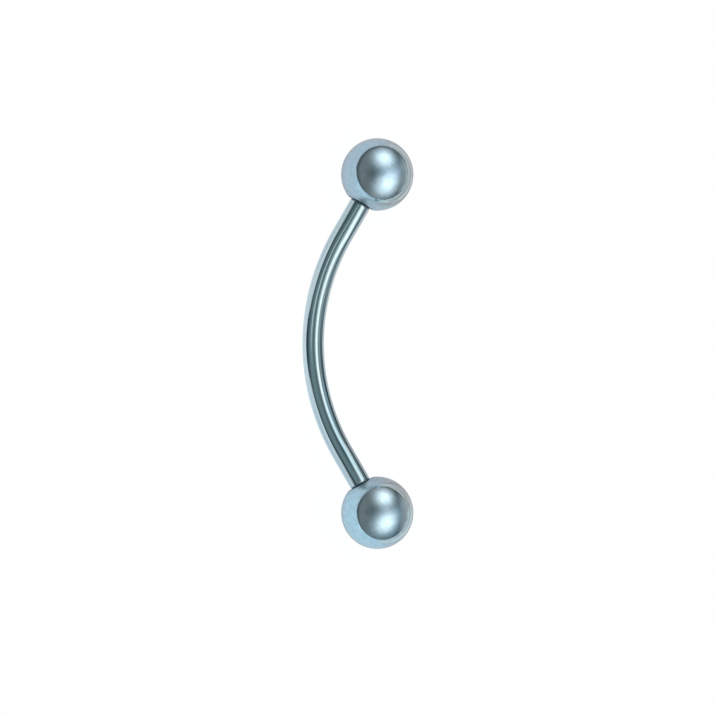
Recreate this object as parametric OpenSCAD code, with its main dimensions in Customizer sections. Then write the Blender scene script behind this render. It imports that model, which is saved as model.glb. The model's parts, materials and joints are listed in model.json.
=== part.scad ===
// Curved barbell for a piercing: a bent bar with a threaded tip at each end and a ball screwed onto each tip.
// Millimetres. It lies on its two balls and on the middle of its bar, on the plane Z = 0.
// +X runs from the upper ball to the lower ball, and the bar bulges towards -Y.

/* [Bar] */
// Diameter of the bar
bar_d = 1.2; // [1.1:0.05:1.4]
// Straight-line distance between the bar's two shoulders
bar_len = 15.5; // [14.5:0.5:20]
// Radius of the bend, to the bar's centre line
bend_r = 12; // [10:0.5:13]
// Angle of each straight end to the line through the balls
end_angle = 30; // [24:1:32]
// Length over which the bar is rounded down to each shoulder
shoulder_round = 0.15; // [0.08:0.01:0.2]
// How much its radius loses there
shoulder_step = 0.07; // [0.04:0.01:0.07]

/* [Threaded tips] */
// Diameter over the thread's crests
thread_d = 0.95; // [0.8:0.05:0.95]
// Distance from one crest to the next
thread_pitch = 0.25; // [0.2:0.05:0.25]
// Number of grooves on each tip
thread_turns = 8; // [5:1:8]

/* [Balls] */
// Diameter of each ball
ball_d = 4; // [4:0.25:6]
// Diameter of the flat that is faced round each ball's mouth
face_d = 1.6; // [1.45:0.05:1.8]
// Gap between that flat and the bar's shoulder
seat_gap = 0.02; // [0.01:0.01:0.03]
// Gap round the thread in the ball's bore
thread_gap = 0.025; // [0.02:0.005:0.04]

/* [Hidden] */
$fn = 96;

// Places along a thread's axis, measured outwards from its ball's centre
face_z = -sqrt(pow(ball_d / 2, 2) - pow(face_d / 2, 2));
shoulder_z = face_z - seat_gap;

// The thread: rings of one pitch stand for its turns, with a plain relief at the shoulder
crest_r = thread_d / 2;
root_r = crest_r - 0.54 * thread_pitch;
crest_flat = thread_pitch / 8;
relief_len = 0.1;
tip_chamfer = 0.1;
grooves_z = shoulder_z + relief_len;
tip_z = grooves_z + thread_turns * thread_pitch + tip_chamfer / 2;

// The ball's bore
bore_r = crest_r + thread_gap;
bore_end_z = tip_z + 0.15;
drill_angle = 31;
mouth_chamfer = 0.02;

// Each straight starts inside the bend, a hair under its surface, so that the three are one solid
seam_overlap = 0.15;
seam_step = 0.002;

// The bar's route in its own flat plane: a bend with a straight at each end
straight_len = (bar_len / 2 - bend_r * sin(end_angle)) / cos(end_angle);
end_len = straight_len - shoulder_z;
half_span = bend_r * sin(end_angle) + end_len * cos(end_angle);
sagitta = bend_r * (1 - cos(end_angle)) + end_len * sin(end_angle);

// How it lies: that plane tips down until the middle of the bar touches what it lies on
rest_tilt = asin((ball_d - bar_d) / 2 / sagitta);
ball_line_y = (sagitta * cos(rest_tilt) + bar_d / 2 - ball_d / 2) / 2;

upper = -1;
lower = 1;

// Carries its children from the flat plane of the bend to where the barbell lies
module at_rest() {
    translate([0, ball_line_y, ball_d / 2])
        rotate([rest_tilt, 0, 0])
            children();
}

// Puts its children's Z axis on a thread's axis, with zero at the ball's centre, pointing away from the bar
module on_thread_axis(side) {
    translate([side * half_span, 0, 0])
        rotate([0, 90, side == lower ? end_angle : 180 - end_angle])
            children();
}

// Half section of one end of the bar: the straight, its rounded shoulder, the relief and the ringed tip
module bar_end_section() {
    straight_r = bar_d / 2 - seam_step;
    start_z = -end_len - seam_overlap;
    rounding = [for (angle = [0:30:90]) [
        straight_r - shoulder_step * (1 - cos(angle)),
        shoulder_z - shoulder_round * (1 - sin(angle))
    ]];
    rings = [for (turn = [0:thread_turns - 1]) each [
        [root_r, grooves_z + turn * thread_pitch],
        [crest_r, grooves_z + (turn + 0.5) * thread_pitch - crest_flat / 2],
        [crest_r, grooves_z + (turn + 0.5) * thread_pitch + crest_flat / 2]
    ]];
    polygon(concat(
        [[0, start_z], [straight_r, start_z]],
        rounding,
        [[root_r, shoulder_z]],
        rings,
        [[root_r, grooves_z + thread_turns * thread_pitch]],
        [[root_r - tip_chamfer, tip_z], [0, tip_z]]
    ));
}

module bar_end(side) {
    on_thread_axis(side)
        rotate_extrude($fn = 48)
            bar_end_section();
}

module bar_bend() {
    translate([0, bend_r - sagitta, 0])
        rotate([0, 0, 270 - end_angle])
            rotate_extrude(angle = 2 * end_angle)
                translate([bend_r, 0])
                    circle(d = bar_d, $fn = 48);
}

module curved_bar() {
    color([0.60, 0.72, 0.78])
        at_rest() {
            bar_bend();
            bar_end(upper);
            bar_end(lower);
        }
}

// What is cut from a ball: the faced flat, the mouth's small chamfer, and the bore with its drill point
module ball_cuts_section() {
    beyond = ball_d / 2 + 1;
    polygon([
        [0, -beyond],
        [ball_d, -beyond],
        [ball_d, face_z],
        [bore_r + mouth_chamfer, face_z],
        [bore_r, face_z + mouth_chamfer],
        [bore_r, bore_end_z],
        [0, bore_end_z + bore_r * tan(drill_angle)]
    ]);
}

module threaded_ball(side) {
    color([0.64, 0.76, 0.83])
        at_rest()
            on_thread_axis(side)
                difference() {
                    sphere(d = ball_d);
                    rotate_extrude()
                        ball_cuts_section();
                }
}

module upper_ball() {
    threaded_ball(upper);
}

module lower_ball() {
    threaded_ball(lower);
}

curved_bar();
upper_ball();
lower_ball();
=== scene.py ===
import json
from math import atan2, cos, pi, radians, sin, sqrt, tan

import bmesh
import bpy
from mathutils import Matrix, Vector


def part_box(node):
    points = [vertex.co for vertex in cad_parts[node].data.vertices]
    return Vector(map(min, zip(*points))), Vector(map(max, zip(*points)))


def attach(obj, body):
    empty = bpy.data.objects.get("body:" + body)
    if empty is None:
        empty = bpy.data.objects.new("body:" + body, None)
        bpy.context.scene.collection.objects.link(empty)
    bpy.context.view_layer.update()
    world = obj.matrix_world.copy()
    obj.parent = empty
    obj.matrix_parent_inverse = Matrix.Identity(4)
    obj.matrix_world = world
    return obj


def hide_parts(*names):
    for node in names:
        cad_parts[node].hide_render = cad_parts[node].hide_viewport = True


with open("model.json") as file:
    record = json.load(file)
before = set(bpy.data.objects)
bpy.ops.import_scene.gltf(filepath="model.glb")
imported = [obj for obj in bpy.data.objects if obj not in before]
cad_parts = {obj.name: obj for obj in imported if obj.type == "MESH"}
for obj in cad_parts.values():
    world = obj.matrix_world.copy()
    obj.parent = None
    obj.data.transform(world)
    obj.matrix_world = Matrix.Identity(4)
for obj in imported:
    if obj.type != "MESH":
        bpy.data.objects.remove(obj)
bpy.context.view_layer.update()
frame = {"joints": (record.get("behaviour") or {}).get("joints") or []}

mm = 0.001
white = (1.0, 1.0, 1.0)


# Where everything is, worked out from the frame

def axesAt(origin, x, y, z):
    return Matrix.Translation(origin) @ Matrix((x, y, z)).transposed().to_4x4()


upperLow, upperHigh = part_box("upper_ball")
lowerLow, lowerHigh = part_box("lower_ball")
ballRadius = (upperHigh.z - upperLow.z) / 2
upperCentre = Vector((upperLow.x + ballRadius, (upperLow.y + upperHigh.y) / 2, ballRadius))
lowerCentre = Vector((lowerHigh.x - ballRadius, (lowerLow.y + lowerHigh.y) / 2, ballRadius))
jointAxes = {joint["child"]: Vector(joint["axis"]).normalized() for joint in frame["joints"]}

# The bend lies in one plane: along it from ball to ball, across it towards the hollow side, and out of it
chordMiddle = (upperCentre + lowerCentre) / 2
along = (lowerCentre - upperCentre).normalized()
lowerAxis = jointAxes["ball_lower"]
across = (lowerAxis - along * lowerAxis.dot(along)).normalized()
outwards = along.cross(across)
planeFrame = axesAt(chordMiddle, along, across, outwards)


def threadFrame(centre, axis):
    # Z runs along the thread, away from the bar
    return axesAt(centre, outwards, axis.cross(outwards), axis)


upperFrame = threadFrame(upperCentre, jointAxes["ball_upper"])
lowerFrame = threadFrame(lowerCentre, lowerAxis)
print("frame read: balls", round(ballRadius * 2 / mm, 3), "mm, centres",
      round((lowerCentre - upperCentre).length / mm, 3), "mm apart")


# Shader maths

class Signal:
    def __init__(self, tree, socket=None):
        self.tree = tree
        self.socket = socket

    def make(self, kind, settings=None, inputs=None, output=0):
        # Any node: its type, its settings, and the values or links of its sockets
        node = self.tree.nodes.new(kind)
        for name, value in (settings or {}).items():
            setattr(node, name, value)
        for name, value in (inputs or {}).items():
            if isinstance(value, Signal):
                self.tree.links.new(value.socket, node.inputs[name])
            else:
                node.inputs[name].default_value = value
        return Signal(self.tree, node.outputs[output] if len(node.outputs) else None)

    def maths(self, operation, left, right):
        return self.make("ShaderNodeMath", {"operation": operation}, {0: left, 1: right})

    def __add__(self, other):
        return self.maths("ADD", self, other)

    def __radd__(self, other):
        return self.maths("ADD", other, self)

    def __sub__(self, other):
        return self.maths("SUBTRACT", self, other)

    def __rsub__(self, other):
        return self.maths("SUBTRACT", other, self)

    def __mul__(self, other):
        return self.maths("MULTIPLY", self, other)

    def __rmul__(self, other):
        return self.maths("MULTIPLY", other, self)

    def __truediv__(self, other):
        return self.maths("DIVIDE", self, other)

    def __rtruediv__(self, other):
        return self.maths("DIVIDE", other, self)


def emptyShader(owner):
    # The cleared node tree of a new material or world
    owner.use_nodes = True
    owner.node_tree.nodes.clear()
    return Signal(owner.node_tree)


def fourth(value):
    square = value * value
    return square * square


def falloff(power):
    # A bell: 1 where the power is 0, and soon 0 where it grows
    return power.make("ShaderNodeMath", {"operation": "EXPONENT"}, {0: -1 * power})


def ramp(value, start, reach):
    # From 0 at the start to 1 after the reach
    settings = {"operation": "DIVIDE", "use_clamp": True}
    return value.make("ShaderNodeMath", settings, {0: value - start, 1: reach})


def absolute(value):
    return value.make("ShaderNodeMath", {"operation": "ABSOLUTE"}, {0: value})


def dotted(vector, way):
    return vector.make("ShaderNodeVectorMath", {"operation": "DOT_PRODUCT"}, {0: vector, 1: way}, "Value")


def distance(place, other):
    return place.make("ShaderNodeVectorMath", {"operation": "DISTANCE"}, {0: place, 1: other}, "Value")


def multiplied(one, other):
    return one.make("ShaderNodeVectorMath", {"operation": "MULTIPLY"}, {0: one, 1: other})


def added(one, other):
    return other.make("ShaderNodeVectorMath", {"operation": "ADD"}, {0: one, 1: other})


def scaled(colour, share):
    return share.make("ShaderNodeVectorMath", {"operation": "SCALE"}, {0: colour, "Scale": share})


def blended(share, one, other):
    # The Mix node's colours are its sockets 6 and 7, and its result in colour is 2
    one, other = [colour if isinstance(colour, Signal) else (*colour, 1) for colour in (one, other)]
    return share.make("ShaderNodeMix", {"data_type": "RGBA"}, {0: share, 6: one, 7: other}, 2)


def noise(place, scale, detail, breakup=0.5, dimensions="3D"):
    return place.make("ShaderNodeTexNoise", {"noise_dimensions": dimensions}, {
        "Vector": place, "Scale": scale, "Detail": detail, "Roughness": breakup,
    })


def objectPlace(shader):
    return shader.make("ShaderNodeTexCoord", output="Object")


# Camera, square on to the plane of the bend, as in the photograph

cameraLook = {
    "lens": 118.2,
    "distance": 130 * mm,
    "aimAcross": -1.066 * mm,
    "aimUp": -0.795 * mm,
    "nearest": 5 * mm,
    "farthest": 50.0,
}


def makeCamera(look):
    pictureRight, pictureUp, back = across, -along, outwards
    aim = chordMiddle + pictureRight * look["aimAcross"] + pictureUp * look["aimUp"]
    data = bpy.data.cameras.new("camera")
    data.lens = look["lens"]
    data.clip_start = look["nearest"]
    data.clip_end = look["farthest"]
    camera = bpy.data.objects.new("camera", data)
    bpy.context.scene.collection.objects.link(camera)
    camera.matrix_world = axesAt(aim + back * look["distance"], pictureRight, pictureUp, back)
    bpy.context.scene.camera = camera


makeCamera(cameraLook)
print("camera placed")


# Helpers for turned pieces, drawn as half a section in X and Z and spun about Z

turningLook = {
    "weld": 0.0005 * mm,  # points closer than this become one
    "ringReach": 0.002 * mm,  # how far off a point may be and still count as on a circle
    "sharpAngle": 32,  # degrees, above which an edge stays crisp
}


def arcFrom(work, start, angle, steps):
    # A round stretch of a section, turned about Y from its start
    spun = bmesh.ops.spin(work, geom=[start], cent=(0, 0, 0), axis=(0, 1, 0), dvec=(0, 0, 0),
                          angle=angle, steps=steps, use_merge=False)
    return spun["geom_last"][0]


def linesThrough(work, last, corners):
    # Straight stretches of a section, from its last point on
    for x, z in corners:
        last = bmesh.ops.extrude_vert_indiv(work, verts=[last])["verts"][0]
        last.co = (x, 0, z)


def turnOnLathe(work, segments):
    bmesh.ops.spin(work, geom=work.verts[:] + work.edges[:], cent=(0, 0, 0), axis=(0, 0, 1),
                   dvec=(0, 0, 0), angle=2 * pi, steps=segments, use_merge=True)
    bmesh.ops.remove_doubles(work, verts=work.verts, dist=turningLook["weld"])


def roundRing(work, radius, height, width, segments):
    # Rounds the edges that lie on one circle of a turned piece
    reach = turningLook["ringReach"]

    def onIt(vert):
        return abs(vert.co.xy.length - radius) < reach and abs(vert.co.z - height) < reach

    ring = [edge for edge in work.edges if onIt(edge.verts[0]) and onIt(edge.verts[1])]
    bmesh.ops.bevel(work, geom=ring, offset=width, offset_type="OFFSET", segments=segments,
                    profile=0.5, affect="EDGES", material=-1)


def finishPiece(work, name, material, body, node):
    bmesh.ops.recalc_face_normals(work, faces=work.faces)
    for face in work.faces:
        face.smooth = True
    for edge in work.edges:
        if edge.is_manifold and edge.calc_face_angle(0) > radians(turningLook["sharpAngle"]):
            edge.smooth = False
    mesh = bpy.data.meshes.new(name)
    work.to_mesh(mesh)
    work.free()
    mesh.materials.append(material)
    piece = bpy.data.objects.new(name, mesh)
    bpy.context.scene.collection.objects.link(piece)
    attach(piece, body)
    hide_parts(node)
    print("made", name, "with", len(mesh.polygons), "faces")
    return piece


# Metal

def nearMouth(place, look):
    # The polishing wheel can't reach right into the corner beside the bar, so it is satin there,
    # and the flat inside it and the bore get a painted shade, darker in the recess round the bar
    radius = distance(multiplied(place, (1, 1, 0)), (0, 0, 0))
    facing = place.maths("GREATER_THAN", dotted(place, (0, 0, -1)), 0)
    satin = (1 - ramp(radius, look["satinStart"], look["satinFade"])) * facing
    mouthShadeMask = (1 - ramp(radius, look["faceRadius"], look["mouthShadeFade"])) * facing
    return satin, mouthShadeMask


def polishedMetal(name, look, readPlace, hasMouth=False):
    material = bpy.data.materials.new(name)
    shader = emptyShader(material)
    place = readPlace(shader)
    stretched = multiplied(place, look["lineStretch"])
    lines = noise(stretched, look["lineScale"], look["lineDetail"], look["lineBreakup"])
    clouds = noise(place, look["cloudScale"], look["cloudDetail"])
    grain = noise(place, look["grainScale"], look["grainDetail"])
    # each noise swings about a half
    rough = look["roughness"] + (lines + clouds - 1) * look["roughSpread"]
    tone = (lines - 0.5) * look["lineTone"] + (grain - 0.5) * look["grainTone"] + 0.5
    tint = blended(tone, look["paleTint"], look["deepTint"])
    if hasMouth:
        satin, mouthShadeMask = nearMouth(place, look)
        rough = rough + satin * look["satinRoughness"]
        # painted shade: the flat and bore round the bar are darkened
        tint = scaled(tint, 1 - mouthShadeMask * look["mouthShadeDepth"])
    height = lines * look["lineDepth"] + clouds * look["cloudDepth"] + grain * look["grainDepth"]
    bump = shader.make("ShaderNodeBump", inputs={"Strength": 1.0, "Distance": 1.0, "Height": height})
    metal = shader.make("ShaderNodeBsdfPrincipled", inputs={
        "Base Color": tint, "Metallic": 1.0, "Roughness": rough, "Normal": bump,
        "Specular Tint": (*look["edgeTint"], 1),
    })
    shader.make("ShaderNodeOutputMaterial", inputs={"Surface": metal})
    return material


# Balls

ballLook = {
    "arcSteps": 96,
    "segments": 192,
    "faceRadius": 0.8 * mm,
    "rimRounding": 0.06 * mm,
    "rimSegments": 4,
    "boreRadius": 0.5 * mm,
    "mouthChamfer": 0.02 * mm,
    "boreDepth": 2.28 * mm,
    "drillAngle": 31,
    # fine turned lines, light clouding and grain
    "lineStretch": (1.0, 1.0, 12.0),
    "lineScale": 900.0,
    "lineDetail": 4.0,
    "lineBreakup": 0.6,
    "lineTone": 1.0,
    "lineDepth": 0.0004 * mm,
    "cloudScale": 2000.0,
    "cloudDetail": 2.0,
    "cloudDepth": 0.0035 * mm,
    "grainScale": 4500.0,
    "grainDetail": 2.0,
    "grainTone": 2.0,
    "grainDepth": 0.0012 * mm,
    "paleTint": (0.72, 0.83, 0.89),
    "deepTint": (0.58, 0.69, 0.75),
    "edgeTint": (1.0, 0.85, 0.82),
    "roughness": 0.075,
    "roughSpread": 0.04,
    # round the mouth: satin, and a painted shade on the flat and bore
    "satinStart": 1.0 * mm,
    "satinFade": 0.7 * mm,
    "satinRoughness": 0.33,
    "mouthShadeFade": 0.05 * mm,
    "mouthShadeDepth": 0.6,
}

faceDepth = sqrt(ballRadius ** 2 - ballLook["faceRadius"] ** 2)  # from a ball's centre to its flat


def ballPlace(turned):
    # The finish follows the thread's axis, as if the ball stood in a lathe
    def read(shader):
        return shader.make("ShaderNodeMapping", {"vector_type": "TEXTURE"}, {
            "Vector": objectPlace(shader),
            "Location": turned.to_translation(),
            "Rotation": turned.to_euler(),
        })
    return read


def makeBall(name, body, node, turned, look):
    boreEnd = look["boreDepth"] - faceDepth
    work = bmesh.new()
    pole = work.verts.new((0, 0, ballRadius))
    rim = arcFrom(work, pole, pi - atan2(look["faceRadius"], faceDepth), look["arcSteps"])
    linesThrough(work, rim, [
        (look["boreRadius"] + look["mouthChamfer"], -faceDepth),
        (look["boreRadius"], look["mouthChamfer"] - faceDepth),
        (look["boreRadius"], boreEnd),
        (0, boreEnd + look["boreRadius"] * tan(radians(look["drillAngle"]))),
    ])
    turnOnLathe(work, look["segments"])
    roundRing(work, look["faceRadius"], -faceDepth, look["rimRounding"], look["rimSegments"])
    bmesh.ops.transform(work, matrix=turned, verts=work.verts)
    metal = polishedMetal(name + "Metal", look, ballPlace(turned), hasMouth=True)
    return finishPiece(work, name, metal, body, node)


upperBall = makeBall("upperBall", "ball_upper", "upper_ball", upperFrame, ballLook)
lowerBall = makeBall("lowerBall", "ball_lower", "lower_ball", lowerFrame, ballLook)


# Bar

barLook = {
    "radius": 0.6 * mm,
    "segments": 96,
    "bendRadius": 12 * mm,
    "bendSteps": 120,
    "joinGap": 0.003 * mm,  # its bend and ends are joined where they are closer than this
    "seatGap": 0.02 * mm,
    "shoulderRound": 0.15 * mm,
    "shoulderStep": 0.07 * mm,
    "shoulderSteps": 5,
    "relief": 0.1 * mm,
    "tipChamfer": 0.1 * mm,
    "rootRadius": 0.34 * mm,
    "crestRadius": 0.475 * mm,
    "pitch": 0.25 * mm,
    "turns": 8,
    "turnSteps": 40,
    # the ridge's half widths, and the travel over which it sinks in at each end, as shares of the pitch
    "footShare": 0.44,
    "crestShare": 0.0625,
    "sinkShare": 0.25,
    # where its foot stands inside the core, and where it ends there, as shares of the core's radius
    "footSunk": 0.97,
    "endSunk": 0.98,
    # faint drawn lines along it, and clouding
    "lineStretch": (0.03, 1.0, 1.0),
    "lineScale": 5000.0,
    "lineDetail": 4.0,
    "lineBreakup": 0.6,
    "lineTone": 1.5,
    "lineDepth": 0.0013 * mm,
    "cloudScale": 900.0,
    "cloudDetail": 2.0,
    "cloudDepth": 0.002 * mm,
    "grainScale": 8000.0,
    "grainDetail": 2.0,
    "grainTone": 1.5,
    "grainDepth": 0.0001 * mm,
    "paleTint": (0.69, 0.80, 0.86),
    "deepTint": (0.55, 0.66, 0.72),
    "edgeTint": white,
    "roughness": 0.06,
    "roughSpread": 0.03,
}

endAngle = atan2(lowerAxis.dot(across), lowerAxis.dot(along))
chordHalf = (lowerCentre - upperCentre).length / 2
# from a ball's centre to the start of the bend, and from the middle of the bend to the line of the balls
endLength = (chordHalf - barLook["bendRadius"] * sin(endAngle)) / cos(endAngle)
sagitta = barLook["bendRadius"] * (1 - cos(endAngle)) + endLength * sin(endAngle)
bendCentre = Vector((0, barLook["bendRadius"] - sagitta, 0))


def barPlace(shader):
    return shader.make("ShaderNodeAttribute", {"attribute_name": "straightened"}, output="Vector")


def keepStraightPlace(work, look):
    # Keeps where each point of the bar was before it was bent, so that the finish follows the bar
    layer = work.verts.layers.float_vector.new("straightened")
    for vert in work.verts:
        flat = vert.co - bendCentre
        angle = atan2(flat.x, -flat.y)
        if abs(angle) <= endAngle:
            offset = flat.xy.length - look["bendRadius"]
            travel = angle * look["bendRadius"]
        else:
            side = 1 if angle > 0 else -1
            heading = Vector((side * cos(endAngle), sin(endAngle), 0))
            start = Vector((side * sin(endAngle), -cos(endAngle), 0)) * look["bendRadius"]
            travel = side * (endAngle * look["bendRadius"] + (flat - start).dot(heading))
            offset = (flat - start).dot(start.normalized())
        vert[layer] = (travel, offset, vert.co.z)


def addThread(work, start, look):
    # A ridge wound round the core, right handed, that sinks into it at each end
    root, crest, pitch = look["rootRadius"], look["crestRadius"], look["pitch"]
    turns = look["turns"] - 1
    sunk, foot, flat = root * look["footSunk"], pitch * look["footShare"], pitch * look["crestShare"]
    first = start + pitch / 2
    last = first + turns * pitch
    slope = (crest - root) / (pitch * look["sinkShare"])
    corners = [(sunk, -foot), (crest, -flat), (crest, flat), (sunk, foot)]
    ridge = [work.verts.new((x, 0, first + z)) for x, z in corners]
    section = work.faces.new(ridge)
    before = set(work.verts)
    bmesh.ops.spin(work, geom=ridge + list(section.edges) + [section], cent=(0, 0, 0), axis=(0, 0, 1),
                   dvec=(0, 0, pitch / look["turnSteps"]), angle=2 * pi * turns,
                   steps=turns * look["turnSteps"], use_merge=False)
    wound = [vert for vert in work.verts if vert not in before] + ridge
    for vert in wound:
        radius = vert.co.xy.length
        reach = root + slope * min(vert.co.z - first, last - vert.co.z)
        if radius > root and radius > reach:
            vert.co.xy *= max(reach, root * look["endSunk"]) / radius


def addBarEnd(work, turned, look):
    # One straight end with its rounded shoulder and plain core, turned on the thread's axis
    shoulder = -faceDepth - look["seatGap"]
    tip = shoulder + look["relief"] + look["turns"] * look["pitch"] + look["tipChamfer"] / 2
    angles = [pi / 2 * step / look["shoulderSteps"] for step in range(look["shoulderSteps"] + 1)]
    end = bmesh.new()
    start = end.verts.new((look["radius"], 0, -endLength))
    linesThrough(end, start, [
        *[(look["radius"] - look["shoulderStep"] * (1 - cos(angle)),
           shoulder - look["shoulderRound"] * (1 - sin(angle))) for angle in angles],
        (look["rootRadius"], shoulder),
        (look["rootRadius"], tip - look["tipChamfer"] / 2),
        (look["rootRadius"] - look["tipChamfer"], tip),
        (0, tip),
    ])
    turnOnLathe(end, look["segments"])
    addThread(end, shoulder + look["relief"], look)
    bmesh.ops.transform(end, matrix=turned, verts=end.verts)
    part = bpy.data.meshes.new("barEnd")
    end.to_mesh(part)
    end.free()
    work.from_mesh(part)
    bpy.data.meshes.remove(part)


def makeBar(look):
    work = bmesh.new()
    start = Matrix.Rotation(-endAngle, 4, "Z") @ Matrix.Translation((0, -look["bendRadius"], 0))
    start = Matrix.Translation(bendCentre) @ start @ Matrix.Rotation(pi / 2, 4, "Y")
    ring = bmesh.ops.create_circle(work, cap_ends=False, radius=look["radius"],
                                   segments=look["segments"], matrix=start)
    bmesh.ops.spin(work, geom=ring["verts"] + work.edges[:], cent=bendCentre, axis=(0, 0, 1),
                   dvec=(0, 0, 0), angle=2 * endAngle, steps=look["bendSteps"], use_merge=False)
    toPlane = planeFrame.inverted()
    addBarEnd(work, toPlane @ lowerFrame, look)
    addBarEnd(work, toPlane @ upperFrame, look)
    bmesh.ops.remove_doubles(work, verts=work.verts, dist=look["joinGap"])
    keepStraightPlace(work, look)
    bmesh.ops.transform(work, matrix=planeFrame, verts=work.verts)
    metal = polishedMetal("barMetal", look, barPlace)
    return finishPiece(work, "curvedBar", metal, "bar", "curved_bar")


curvedBar = makeBar(barLook)


# Studio: a pale floor, and soft lights of their own for the balls and for the bar

studioLook = {
    # the backdrop, and the soft light that falls on the floor from all round
    "seenBehind": (0.985, 0.988, 0.99),
    "softLight": 0.25,
    "floorHalf": 2.0,
    "floorColour": (0.22, 0.22, 0.22),
    "floorGlow": 0.938,
    # the domes' radii, all different so that none lies in another
    "upperRoom": 2.0,
    "lowerRoom": 2.1,
    "barRoom": 2.2,
    "roomSegments": 48,
    "roomRings": 24,
    # how far the bar's paper lies under the balls'
    "barPaperDrop": 0.05 * mm,
}

# What the balls mirror. A pair of places is where a change starts and over what reach it comes in
ballLights = {
    # how bright the room is, and how that changes across and up the picture
    "level": 0.137,
    "slope": (-0.096, 0.020),
    "tint": (0.92, 1.055, 1.08),
    "upperLamps": [
        # across, up and out of the picture, width, height and turn in degrees, strength, colour
        ((0.350, 0.742, 0.570), 18.9, 21.6, -30, 1.36, (0.92, 1.02, 1.06)),
        ((0.530, -0.567, 0.630), 23.0, 27.0, -20, 1.33, (0.92, 1.02, 1.06)),
        ((0.838, 0.005, 0.547), 36.0, 14.0, 28, 0.29, (0.86, 1.02, 1.16)),
        # a blue glow between the lamps
        ((0.640, 0.100, 0.760), 34.0, 60.0, 0, 0.08, (-0.2, 0.5, 1.0)),
        # a darker spot near the middle, and a dark strip over the paper's far edge
        ((-0.300, 0.000, 0.954), 12.0, 12.0, 0, -0.04, (1.0, 1.0, 1.0)),
        ((-0.919, 0.060, 0.390), 5.0, 45.0, 0, -0.13, (1.0, 1.0, 0.9)),
    ],
    "lowerLamps": [
        ((0.345, 0.790, 0.507), 17.4, 20.5, -30, 1.34, (0.92, 1.02, 1.06)),
        ((0.462, -0.480, 0.745), 21.5, 24.5, -20, 1.27, (0.94, 1.02, 1.05)),
        ((0.870, -0.050, 0.490), 32.0, 15.0, 28, 0.18, (0.80, 1.00, 1.15)),
        # a wide bluish glow below them
        ((0.640, -0.570, 0.515), 46.0, 50.0, 0, 0.14, (0.45, 1.00, 1.35)),
        ((-0.350, 0.100, 0.930), 12.0, 12.0, 0, -0.04, (1.0, 1.0, 1.0)),
        ((-0.919, 0.116, 0.377), 5.0, 45.0, 0, -0.13, (1.0, 1.0, 0.9)),
    ],
    # a pale, streaky band over the floor's far edge, its rise in degrees
    "band": (0.33, 0.37, 0.38),
    "bandRise": 33.0,
    "bandFrom": (0.72, 0.2),
    "bandWobble": 0.6,
    "bandStreaks": 2.4,
    "bandStretch": (0.3, 0.3, 2.0),
    "bandScale": 2.5,
    "bandDetail": 3.0,
    # the paper, from the upper ball to the lower one, and its tint farther back
    "upperPaper": (0.534, 0.639, 0.714),
    "lowerPaper": (0.572, 0.779, 0.884),
    "lowerFrom": (-12 * mm, 24 * mm),
    "farPaper": (1.03, 0.90, 0.80),
    "farFrom": (1 * mm, 7 * mm),
    # painted shade on the paper between the balls, by the bar
    "between": (0.86, 0.74, 0.71),
    "betweenMiddle": 2.5 * mm,
    "betweenReach": 6 * mm,
    "betweenFrom": (-3 * mm, 4 * mm),
    # streaks in its far part, with how fast they change with the depth and sideways
    "farStreaks": 1.2,
    "streakFront": -5 * mm,
    "streakInDepth": 2.0,
    "streakSideways": 20.0,
    "streakDetail": 3.0,
    # darker at each ball's foot
    "footReach": 2.1 * mm,
    "footShade": 0.30,
    # its left end and its slanted front edge
    "paperEnd": (-70 * mm, 48 * mm),
    "paperFront": (-65 * mm, 4 * mm),
    "paperSlant": 1.5,
    "beyondPaper": (0.11, 0.125, 0.125),
}

# What the bar mirrors, with pairs as above
barLights = {
    # the dark tone between the strips, and in front of the paper
    "level": (0.036, 0.064, 0.070),
    # strips that run up the map: place across it, bow and slant with the height, half width, strength,
    # middle and half length, colour
    "strips": [
        (-0.69, 0.0, 0.40, 0.10, 0.86, 0.25, 0.13, (0.96, 1.00, 0.99)),
        (-0.69, 0.0, -0.40, 0.10, 0.86, -0.25, 0.13, (0.96, 1.00, 0.99)),
        (-0.185, 3.0, -0.15, 0.29, 0.20, -0.3, 0.60, (0.74, 1.00, 1.00)),
        (-0.18, 18.0, 0.60, 0.075, 0.48, 0.065, 0.065, (0.98, 1.02, 0.98)),
        (0.174, 2.0, 0.60, 0.067, 0.34, -0.1, 0.14, (0.90, 1.00, 1.00)),
        (0.343, 1.6, 0.05, 0.128, 1.28, -0.1, 0.50, (0.97, 1.00, 0.94)),
        # a little less red on its lower half, and a blue glow beside it
        (0.320, 1.6, 0.05, 0.150, -0.25, 0.17, 0.09, (1.0, 0.50, 0.10)),
        (0.660, 0.3, 0.25, 0.140, 0.13, 0.19, 0.08, (0.55, 1.00, 1.35)),
        (0.66, 0.3, 0.25, 0.165, 0.45, -1.0, 1.30, (0.88, 1.00, 1.00)),
        (1.107, 0.9, 0.3, 0.19, 0.31, -0.6, 0.65, (0.84, 1.00, 1.05)),
    ],
    "upperPaper": (0.785, 0.84, 0.85),
    "lowerPaper": (0.75, 0.84, 0.885),
    "lowerFrom": (0.0, 5 * mm),
    "farPaper": (0.66, 0.655, 0.66),
    "farFrom": (-2 * mm, 5 * mm),
    # a soft grey patch on it beside the lower half
    "patchMiddle": (3.6 * mm, 4.6 * mm, 0),
    "patchReach": 2.3 * mm,
    "patchShade": 0.64,
    # in front of the bar it is a little brighter
    "frontLight": 0.07,
    "frontFrom": (-7 * mm, 3 * mm),
    "frontUntil": (-2.5 * mm, 2 * mm),
    # and has a soft grey line on either side of the middle, whose curve is in 1/m
    "lineShade": 0.25,
    "lineCurve": 21.0,
    "lineAside": (2 * mm, 4 * mm),
    "lineUntil": (-3.6 * mm, 0.6 * mm),
    # its front edge is hollowed out before the middle of the bar, by a curve in 1/m
    "notchCurve": 600.0,
    "notchFrom": (-8 * mm, 1.5 * mm),
}


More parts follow.
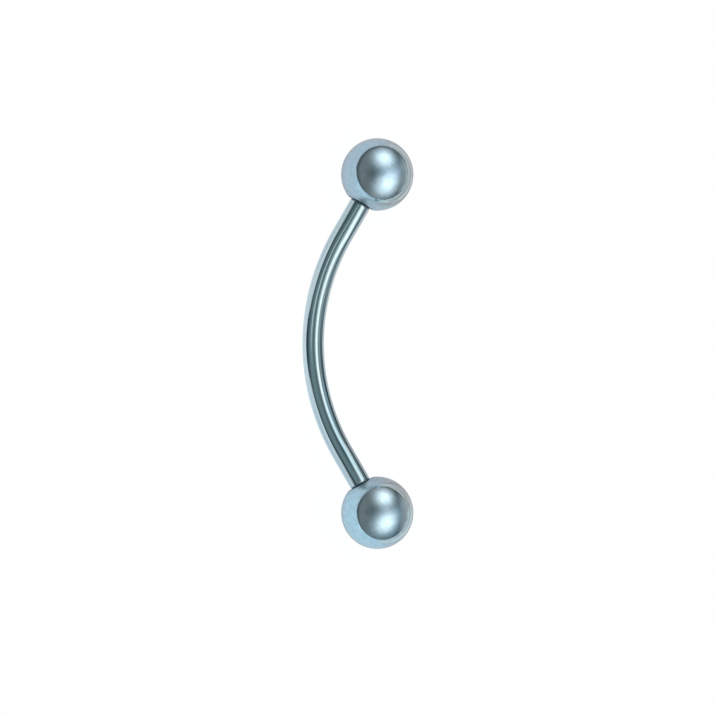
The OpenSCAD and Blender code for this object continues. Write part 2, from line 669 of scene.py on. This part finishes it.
def addToStage(name, work, material, onlyInMirrors):
    mesh = bpy.data.meshes.new(name)
    work.to_mesh(mesh)
    work.free()
    mesh.materials.append(material)
    card = bpy.data.objects.new(name, mesh)
    bpy.context.scene.collection.objects.link(card)
    card.visible_camera = not onlyInMirrors
    card.visible_glossy = onlyInMirrors
    card.visible_diffuse = False
    card.visible_shadow = False
    return card


def makeSheet(name, half, height, material, onlyInMirrors):
    work = bmesh.new()
    lifted = Matrix.Translation((0, 0, height))
    bmesh.ops.create_grid(work, x_segments=1, y_segments=1, size=half, matrix=lifted)
    return addToStage(name, work, material, onlyInMirrors)


def makeRoom(name, radius, look, material):
    # A dome on the floor that is seen only in the metal
    work = bmesh.new()
    bmesh.ops.create_uvsphere(work, radius=radius, u_segments=look["roomSegments"],
                              v_segments=look["roomRings"])
    bmesh.ops.bisect_plane(work, geom=work.verts[:] + work.edges[:] + work.faces[:],
                           plane_co=(0, 0, 0), plane_no=(0, 0, 1), clear_inner=True)
    return addToStage(name, work, material, onlyInMirrors=True)


def shineOn(card, pieces):
    # The card is lit for these pieces alone
    lit = bpy.data.collections.new(card.name + "Lit")
    for piece in pieces:
        lit.objects.link(piece)
    card.light_linking.receiver_collection = lit


def glowing(name, paint):
    # A see-through glow, so that what is behind it shines through
    material = bpy.data.materials.new(name)
    shader = emptyShader(material)
    shine = shader.make("ShaderNodeEmission", inputs={"Color": paint(shader), "Strength": 1.0})
    clear = shader.make("ShaderNodeBsdfTransparent")
    both = shader.make("ShaderNodeAddShader", inputs={0: clear, 1: shine})
    shader.make("ShaderNodeOutputMaterial", inputs={"Surface": both})
    material.cycles.emission_sampling = "NONE"
    return material


def directionHere(shader):
    # The direction from the object to this point of the room
    place = objectPlace(shader)
    away = shader.make("ShaderNodeVectorMath", {"operation": "SUBTRACT"}, {0: place, 1: chordMiddle})
    return shader.make("ShaderNodeVectorMath", {"operation": "NORMALIZE"}, {0: away})


def flatMap(direction, middle, sideways, upwards):
    # Where a direction falls on a stereographic map about this middle, with these two axes
    share = 1 / (dotted(direction, middle) + 1)
    return dotted(direction, sideways) * share, dotted(direction, upwards) * share


def paintBallRoom(shader, lamps):
    look = ballLights
    direction = directionHere(shader)
    slopeAcross, slopeUp = look["slope"]
    level = dotted(direction, across * slopeAcross - along * slopeUp) + look["level"]
    colour = scaled(look["tint"], level)
    for aim, width, height, turn, strength, tint in lamps:
        middle = (across * aim[0] - along * aim[1] + outwards * aim[2]).normalized()
        wide = Matrix.Rotation(radians(turn), 3, middle) @ (-along).cross(middle).normalized()
        tall = middle.cross(wide)
        wide = wide * (sqrt(2) / radians(width))
        tall = tall * (sqrt(2) / radians(height))
        u, v = flatMap(direction, middle, wide, tall)
        glow = scaled([part * strength for part in tint], falloff(u * u + v * v))
        colour = added(colour, glow)
    # over the floor's far edge a pale band hides the horizon
    rise = dotted(direction, (0, 0, 1)) / radians(look["bandRise"])
    behind = ramp(dotted(direction, (0, 1, 0)), *look["bandFrom"])
    stretched = multiplied(objectPlace(shader), look["bandStretch"])
    streaks = noise(stretched, look["bandScale"], look["bandDetail"]) - 0.5
    band = scaled(look["band"], 1 + streaks * look["bandStreaks"])
    return blended(falloff(fourth(rise + streaks * look["bandWobble"])) * behind, colour, band)


def paintUpperRoom(shader):
    return paintBallRoom(shader, ballLights["upperLamps"])


def paintLowerRoom(shader):
    return paintBallRoom(shader, ballLights["lowerLamps"])


def paintBarRoom(shader):
    sideways, height = flatMap(directionHere(shader), outwards, across, -along)
    square = height * height
    colour = barLights["level"]
    for place, bow, slant, width, strength, middle, reach, tint in barLights["strips"]:
        off = fourth((sideways - square * bow - height * slant - place) / width)
        far = fourth((height - middle) / reach)
        glow = scaled([part * strength for part in tint], falloff(off + far))
        colour = added(colour, glow)
    return colour


def floorPlace(shader):
    # How far this point of the floor lies to the right, and how far back
    place = objectPlace(shader)
    return dotted(place, (1, 0, 0)), dotted(place, (0, 1, 0))


def paintBallPaper(shader):
    look = ballLights
    sideways, backwards = floorPlace(shader)
    paper = blended(ramp(sideways, *look["lowerFrom"]), look["upperPaper"], look["lowerPaper"])
    far = ramp(backwards, *look["farFrom"])
    paper = multiplied(paper, blended(far, white, look["farPaper"]))
    # painted shade on the paper between the balls, by the bar
    middle = (sideways - look["betweenMiddle"]) / look["betweenReach"]
    grey = falloff(fourth(middle)) * ramp(backwards, *look["betweenFrom"])
    paper = multiplied(paper, blended(grey, white, look["between"]))
    # the logarithm makes the streaks wider with the distance
    depth = shader.maths("LOGARITHM", backwards - look["streakFront"], 2)
    bent = shader.make("ShaderNodeCombineXYZ", inputs={
        0: depth * look["streakInDepth"], 1: sideways * look["streakSideways"],
    })
    streaks = noise(bent, 1, look["streakDetail"], dimensions="2D") - 0.5
    paper = scaled(paper, 1 + streaks * far * look["farStreaks"])
    # both balls' feet at once, because they are mirror images
    either = shader.make("ShaderNodeCombineXYZ", inputs={0: absolute(sideways), 1: backwards})
    near = distance(either, (lowerCentre.x, lowerCentre.y, 0)) / look["footReach"]
    paper = scaled(paper, 1 - falloff(fourth(near)) * look["footShade"])
    front = backwards + sideways * look["paperSlant"]
    inside = ramp(sideways, *look["paperEnd"]) * ramp(front, *look["paperFront"])
    return blended(inside, look["beyondPaper"], paper)


def paintBarPaper(shader):
    look = barLights
    sideways, backwards = floorPlace(shader)
    square = sideways * sideways
    paper = blended(ramp(sideways, *look["lowerFrom"]), look["upperPaper"], look["lowerPaper"])
    paper = blended(ramp(backwards, *look["farFrom"]), paper, look["farPaper"])
    near = distance(objectPlace(shader), look["patchMiddle"]) / look["patchReach"]
    paper = scaled(paper, 1 - falloff(near * near) * look["patchShade"])
    ahead = ramp(backwards, *look["frontFrom"])
    bright = ahead * (1 - ramp(backwards, *look["frontUntil"])) * look["frontLight"]
    inside = 1 - ramp(backwards - square * look["lineCurve"], *look["lineUntil"])
    line = ahead * ramp(absolute(sideways), *look["lineAside"]) * inside * look["lineShade"]
    paper = scaled(paper, 1 + bright - line)
    return blended(ramp(backwards + square * look["notchCurve"], *look["notchFrom"]), look["level"], paper)


def makeWorld(look):
    world = bpy.data.worlds.new("studio")
    sky = emptyShader(world)

    def background(colour, strength):
        return sky.make("ShaderNodeBackground", inputs={"Color": (*colour, 1), "Strength": strength})

    def forRay(ray, other, usual):
        # Another background for one kind of ray
        share = sky.make("ShaderNodeLightPath", output=ray)
        return sky.make("ShaderNodeMixShader", inputs={0: share, 1: usual, 2: other})

    dim = forRay("Is Glossy Ray", background(white, 0), background(white, look["softLight"]))
    both = forRay("Is Camera Ray", background(look["seenBehind"], 1), dim)
    sky.make("ShaderNodeOutputWorld", inputs={"Surface": both})
    bpy.context.scene.world = world


def floorMaterial(look):
    material = bpy.data.materials.new("floorWhite")
    shader = emptyShader(material)
    shine = shader.make("ShaderNodeEmission", inputs={"Color": (*white, 1), "Strength": look["floorGlow"]})
    spread = shader.make("ShaderNodeBsdfDiffuse", inputs={"Color": (*look["floorColour"], 1)})
    both = shader.make("ShaderNodeAddShader", inputs={0: spread, 1: shine})
    shader.make("ShaderNodeOutputMaterial", inputs={"Surface": both})
    return material


def makeStudio(look):
    makeWorld(look)
    makeSheet("floor", look["floorHalf"], 0, floorMaterial(look), onlyInMirrors=False)
    for name, pieces, paint in (
        ("upperRoom", [upperBall], paintUpperRoom),
        ("lowerRoom", [lowerBall], paintLowerRoom),
        ("barRoom", [curvedBar], paintBarRoom),
    ):
        shineOn(makeRoom(name, look[name], look, glowing(name + "Glow", paint)), pieces)
    for name, pieces, drop, paint in (
        ("ballPaper", [upperBall, lowerBall], 0, paintBallPaper),
        ("barPaper", [curvedBar], look["barPaperDrop"], paintBarPaper),
    ):
        glow = glowing(name + "Glow", paint)
        shineOn(makeSheet(name, look["floorHalf"], -drop, glow, onlyInMirrors=True), pieces)
    bpy.context.scene.view_settings.view_transform = "Standard"


makeStudio(studioLook)
print("studio lit")
